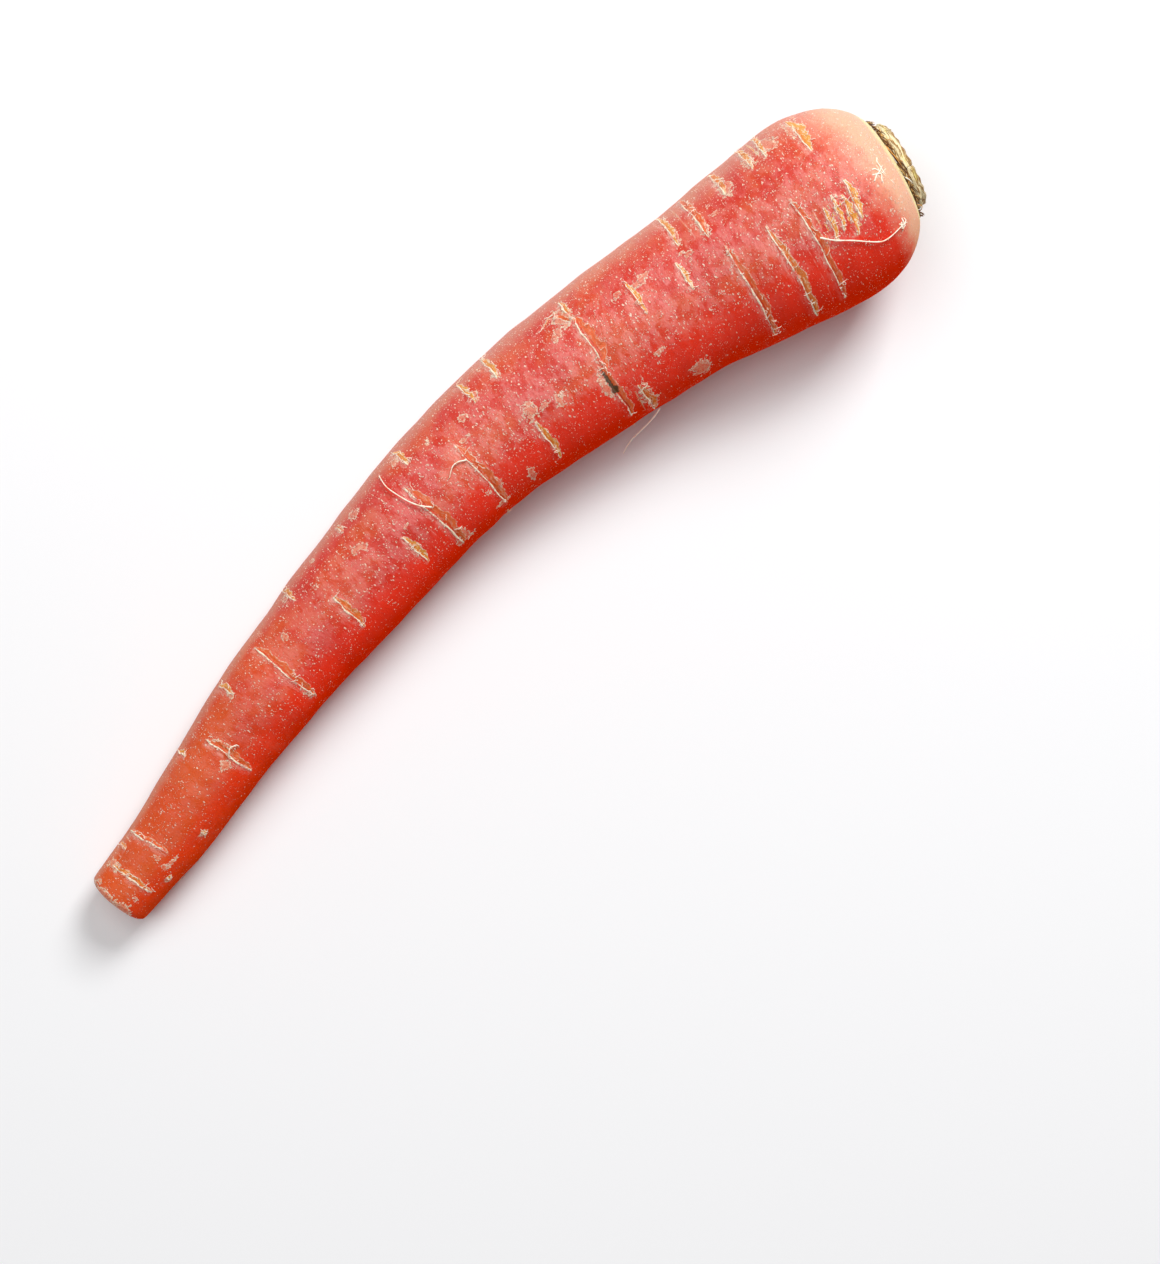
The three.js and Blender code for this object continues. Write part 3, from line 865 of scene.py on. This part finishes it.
def stalk_finish():
    """Dry straw-coloured stalk with brown and olive streaks that run round it; a paler cut end."""
    f = Finish("cut leaf stalk")
    place = f.marks("stalk_place")
    out, deep = f.parts(place)[1:]
    wander = f.stretch(f.blotches(place, 0.5, 2.0, 0.5, "Color"), (0.6, 1.3, 0.6))
    streaks = f.blotches(f.stretch(f.shift(place, wander), (0.22, 2.0, 0.6)), 1.4, 3.0, 0.65)
    stains = f.blotches(f.stretch(place, (0.4, 1.0, 1.0)), 0.7, 3.0, 0.6)
    colour = f.paint(STALK_OLIVE, STALK_STRAW, streaks.cut(0.42, 0.56))
    colour = f.paint(colour, STALK_YELLOW, stains.cut(0.55, 0.66) * 0.7)
    colour = f.paint(colour, STALK_BROWN, streaks.line(0.42, 0.02, 0.04) * 0.9)
    # Browner towards where the stalk leaves the crown's skin.
    colour = f.paint(colour, STALK_BROWN, (1 - (out + (streaks - 0.5) * 2).cut(0.4, 1.5)) * 0.8)
    edge = (out + (stains - 0.5) * 0.8).cut(2.5, 2.9) * (1 - deep.cut(0.3, 0.6))
    colour = f.paint(colour, STALK_BROWN, edge * 0.55)
    return f.finished(f.principled(
        Base_Color=colour, Roughness=0.7 + streaks * 0.15, Normal=f.bump(streaks, 0.0006, 1.0),
        Specular_IOR_Level=0.4,
    ))


cut_stalk = stalk_finish()
number = 0
for count, middle, thick, height, first in STALK_RINGS:
    share = 180 / count - math.degrees(STALK_GAP / middle)
    for k in range(count):
        number += 1
        turn = first + k * 360 / count
        points, faces = stalk_base(turn, share, middle, thick, height)
        stub = new_piece(
            f"stalk_base_{number}", in_frame(points), faces, cut_stalk, "leaf_stalk",
            f"leaf_stalk_{number}",
        )
        from_crown = np.array(points) - crown_middle
        deep = np.append(np.repeat(PITH_SHARE, (len(points) - 2) // len(PITH_SHARE)), [0, 1])
        around = np.arctan2(-(from_crown @ crown_up), -(from_crown @ crown_side))
        mark_points(stub, "stalk_place", around * middle, from_crown @ crown_out, deep)

# ------------------------------------------------------------------------------------------------
# The dried fibres. What is left of old outer leaves: a ragged collar of flat strands, dark, olive
# and grey, that grow out of the crown inside the root's rim and lie against the stalks.

FIBRE_COUNT = 230
FIBRE_RING = (8.9, 10.9)  # mm from the crown's middle
FIBRE_SECTIONS = 6
FIBRE_SIDES = 4

FIBRE_DARK = chart(108, 68, 32)
FIBRE_OLIVE = chart(236, 190, 114)
FIBRE_GREY = chart(244, 236, 218)
FIBRE_RUST = chart(222, 154, 74)


def fibre_finish():
    """Dead leaf fibre: near black where it is damp, olive, rust or grey where it has dried."""
    f = Finish("dried fibre")
    place = f.marks("fibre_place")
    kind, along, _ = f.parts(place)
    specks = f.blotches(place, 3.0, 2.0, 0.6)
    colour = f.paint(FIBRE_DARK, FIBRE_OLIVE, kind.cut(0.3, 0.6))
    colour = f.paint(colour, FIBRE_RUST, kind.cut(0.7, 0.76))
    colour = f.paint(colour, FIBRE_GREY, kind.cut(0.84, 0.88))
    # Darker towards the crown, where the strands leave it.
    colour = f.paint(colour, FIBRE_DARK, (1 - along.cut(0.0, 0.3)) * 0.5)
    colour = f.paint(colour, FIBRE_DARK, specks.cut(0.55, 0.7) * 0.6)
    return f.finished(f.principled(
        Base_Color=colour, Roughness=0.8, Normal=f.bump(specks, 0.0001, 0.8), Specular_IOR_Level=0.3
    ))


def strand(turn, from_middle, length, sweep, lift, width, thick):
    """One flat tapering strand: it leaves the crown, sweeps round it and leans in or out."""
    rings = []
    for share in np.linspace(0, 1, FIBRE_SECTIONS):
        half = width / 2 * (1 - 0.75 * share**2)
        centre_turn = turn + sweep * share**1.3
        middle = from_middle + lift * share * (1.3 - share)
        out = -0.2 + length * (share - 0.25 * share**3)
        rings.append(on_crown(
            centre_turn, middle + np.array([0, thick, 0, -thick]) * (1 - 0.6 * share),
            out + np.array([-half, 0, half, 0]),
        ))
    return closed_tube(rings)


strands, kinds = [], []
for k in range(FIBRE_COUNT):
    turn = 360 * (k + by_chance.uniform(-0.5, 0.5)) / FIBRE_COUNT
    from_middle = by_chance.uniform(*FIBRE_RING)
    outer = (from_middle - FIBRE_RING[0]) / (FIBRE_RING[1] - FIBRE_RING[0])
    strands.append(strand(
        turn, from_middle, by_chance.uniform(0.9, 3.1) * (1 - 0.45 * outer),
        by_chance.choice([-1, 1, 1]) * by_chance.uniform(6, 30), by_chance.uniform(-0.6, 0.3),
        by_chance.uniform(0.2, 0.5), by_chance.uniform(0.08, 0.2),
    ))
    kinds.append(by_chance.uniform(0, 1))
points, faces = together(strands)
fibres = new_piece(
    "crown_fibre_collar", in_frame(points), faces, fibre_finish(), "dried_fibre", "crown_fibres"
)
along_one = np.append(np.repeat(np.linspace(0, 1, FIBRE_SECTIONS), FIBRE_SIDES), [0, 1])
along = np.tile(along_one, FIBRE_COUNT)
kind = np.repeat(kinds, len(along_one))
mark_points(fibres, "fibre_place", kind, along, kind * 50 + along * 2)

# ------------------------------------------------------------------------------------------------
# The bud. The small resting bud in the middle of the crown, inside the ring of stalks: a few
# pointed green scale leaves, wrapped round each other and grown out of the crown.

BUD_SCALES = 7
LEAF_TURN = 137.5  # degrees from one scale to the next


def bud_scale(turn, from_middle, length, width):
    """One scale leaf, hugging the bud and pointing out of the crown."""
    rings = []
    for share in np.linspace(0, 1, 7):
        half = width / 2 * math.sin(math.pi * (0.25 + 0.72 * share))
        lean = from_middle * math.cos(share * 1.35)
        side = np.degrees(half / max(lean, 0.6))
        rings.append(on_crown(
            turn + np.array([-side, -side / 2, 0, side / 2, side, 0]),
            lean + np.array([-0.1, 0.12, 0.2, 0.12, -0.1, -0.15]), -0.1 + length * share,
        ))
    return closed_tube(rings)


BUD_GREEN = chart(150, 148, 70)
BUD_BROWN = chart(112, 84, 40)


def bud_finish():
    """Green scales with brown streaks."""
    f = Finish("bud scales")
    place = f.add("ShaderNodeTexCoord", {}, {}, "Object")
    streaks = f.blotches(place, 1600.0, 3.0, 0.6)
    colour = f.paint(BUD_GREEN, BUD_BROWN, streaks.cut(0.4, 0.62))
    return f.finished(f.principled(
        Base_Color=colour, Roughness=0.7, Normal=f.bump(streaks, 0.0002, 0.8), Specular_IOR_Level=0.4
    ))


# Each scale stands a little further in than the one before, and is longer and narrower.
scales = [
    bud_scale(k * LEAF_TURN, 1.5 - 0.13 * k, 1.5 + 0.1 * k, 1.5 - 0.1 * k) for k in range(BUD_SCALES)
]
points, faces = together(scales)
new_piece("bud", in_frame(points), faces, bud_finish(), "bud", "growing_point")

# ------------------------------------------------------------------------------------------------
# The rootlets. Fine side roots, dried to pale curling hairs, that still hang on at the splits.
# Each grows out of the flesh at its first place, lies along the skin and tapers to its end.

# Places along each: mm from the tip, degrees from the top towards +Y, mm clear of the skin.
ROOTLETS = {
    "rootlet_shoulder": [
        (184.8, -17, 0.1), (187, -23, 0.35), (189.6, -28, 0.4), (193.8, -37, 0.35),
        (196, -39.5, 0.3), (198.9, -39.5, 0.2), (200.2, -40, 0.1),
    ],
    "rootlet_side": [
        (144.2, -88, 0.1), (142.6, -98, 0.9), (140.9, -103, 1.6), (138.7, -107, 2.1),
        (136.4, -111, 3), (133.8, -115, 4.9),
    ],
    "rootlet_middle_1": [(108.4, -2, 0.1), (107, 1, 0.3), (105.5, 2, 0.35), (103.7, -3, 0.1)],
    "rootlet_middle_2": [
        (97.4, -9, 0.1), (96.2, 0, 0.4), (95.1, 14, 0.3), (94.7, 32, 0.6), (95.2, 54, 0.1),
    ],
    "rootlet_tip": [(36.6, -10, 0.1), (37.8, -5, 0.8), (39, -7, 0.5), (39.4, -12, 0.1)],
}
ROOTLET_RADIUS = 0.17
ROOTLET_STEPS = 14  # between one listed place and the next
HAIR_SIDES = 8
HAIR_WAVER = 0.06

ROOTLET_CREAM = chart(255, 244, 226)
ROOTLET_PEACH = chart(250, 212, 178)


def rootlet_finish():
    """Pale dry hair, peach where it has kept some colour."""
    f = Finish("rootlet")
    place = f.add("ShaderNodeTexCoord", {}, {}, "Object")
    bands = f.blotches(place, 900.0, 2.0, 0.6)
    colour = f.paint(ROOTLET_CREAM, ROOTLET_PEACH, bands.cut(0.45, 0.7))
    return f.finished(f.principled(
        Base_Color=colour, Roughness=0.65, Normal=f.bump(bands, 0.0001, 0.6), Specular_IOR_Level=0.4
    ))


def through(places, steps):
    """A smooth run of points through listed ones."""
    places = np.array(places, float)
    padded = np.vstack([2 * places[0] - places[1], places, 2 * places[-1] - places[-2]])
    run = []
    for k in range(1, len(padded) - 2):
        a, b, c, d = padded[k - 1:k + 3]
        for t in np.arange(steps) / steps:
            run.append(0.5 * (
                2 * b + (c - a) * t + (2 * a - 5 * b + 4 * c - d) * t**2 + (3 * b - a - 3 * c + d) * t**3
            ))
    return np.array(run + [places[-1]])


def hair(route, thickness, chance):
    """A thin wavering tube along a route, tapering to its end."""
    heading = np.gradient(route, axis=0)
    heading /= np.linalg.norm(heading, axis=1)[:, None]
    across = np.cross(heading, crown_up)
    across /= np.linalg.norm(across, axis=1)[:, None]
    over = np.cross(across, heading)
    share = np.linspace(0, 1, len(route))
    waver = np.sin(share * chance.uniform(9, 16) + chance.uniform(0, 6)) * HAIR_WAVER
    route = route + across * waver[:, None]
    turns = np.arange(HAIR_SIDES) * 2 * math.pi / HAIR_SIDES
    rings = []
    for k, centre in enumerate(route):
        size = thickness * (0.95 - 0.45 * share[k]) * (1 + 0.15 * math.sin(share[k] * 40))
        ring = np.cos(turns)[:, None] * across[k] + np.sin(turns)[:, None] * over[k]
        rings.append(centre + size * ring)
    return closed_tube(rings)


dry_hair = rootlet_finish()


def on_skin(places):
    """Where the listed places over the skin are, in mm; heights are clear of the skin."""
    points = []
    for distance, angle, height in places:
        skin = float(skin_radius(np.array(distance), np.array(angle)))
        points.append(point_around(distance, angle, skin + height))
    return points


for name, places in ROOTLETS.items():
    lifted = [(distance, angle, height + ROOTLET_RADIUS * 0.8) for distance, angle, height in places]
    points, faces = hair(through(on_skin(lifted), ROOTLET_STEPS), ROOTLET_RADIUS, by_chance)
    new_piece(f"{name}_hair", in_frame(points), faces, dry_hair, "rootlet", name)

# ------------------------------------------------------------------------------------------------
# The loose skin. Fine shreds of the root's own skin that curl up off the scuffs and along the
# splits' edges: each is a short dry thread, and most are less than two millimetres long.

# Scuffs on the shoulder, as places along each thread like the rootlets' own.
SCUFFS = [
    [(198.6, -5, 0), (200, -2, 0.12), (201.6, 1, 0)],
    [(201.4, 8, 0), (201, 2, 0.15), (201.9, -14, 0)],
    [(199.4, 2, 0), (200.3, 0, 0.1), (201.2, -6, 0)],
    [(198.9, -1, 0), (200.4, -3, 0.15), (201.9, -2, 0)],
    [(199.9, -8, 0), (200.4, -4, 0.1), (200.5, 3, 0)],
    [(199.2, -38, 0), (200, -40, 0.3), (200.9, -42, 0)],
    [(200.3, -36, 0), (200, -40, 0.35), (199.5, -44, 0)],
    [(199.6, -41, 0.1), (200.6, -39.5, 0.4), (200.7, -37, 0.1)],
    [(199.9, -38, 0.1), (199.4, -41, 0.35), (200.4, -43, 0)],
]
SCUFF_RADIUS = 0.15
SCUFF_STEPS = 8
SHREDS_PER_MM = 0.55
SHRED_RADIUS = 0.075
SHRED_STEPS = 5
UNDERSIDE = 50  # degrees to each side of the lowest line, where there is no room for shreds

threads = [hair(through(on_skin(places), SCUFF_STEPS), SCUFF_RADIUS, by_chance) for places in SCUFFS]
for start, end, width, *_ in SPLITS:
    if abs((start[1] + end[1]) / 2 - 180) < UNDERSIDE:
        continue
    size = float(girth((start[0] + end[0]) / 2))
    length = math.radians(end[1] - start[1]) * size
    for _ in range(int(length * SHREDS_PER_MM + by_chance.uniform(0, 2))):
        share = by_chance.beta(0.8, 0.8)
        distance = start[0] + (end[0] - start[0]) * share + by_chance.choice([-0.1, 0.85]) * width
        angle = start[1] + (end[1] - start[1]) * share
        reach, bend = by_chance.uniform(0.25, 0.9), by_chance.uniform(-0.4, 0.4)
        turn = by_chance.uniform(0, math.pi)
        along, around = math.cos(turn) * reach, math.degrees(math.sin(turn) * reach / size)
        rise = by_chance.uniform(0.05, 0.3)
        places = [
            (distance - along, angle - around, 0.02), (distance + bend, angle, rise + 0.05),
            (distance + along, angle + around, by_chance.uniform(0.0, 0.5)),
        ]
        threads.append(hair(through(on_skin(places), SHRED_STEPS), SHRED_RADIUS, by_chance))
points, faces = together(threads)
new_piece("loose_skin", in_frame(points), faces, dry_hair, "root_skin")
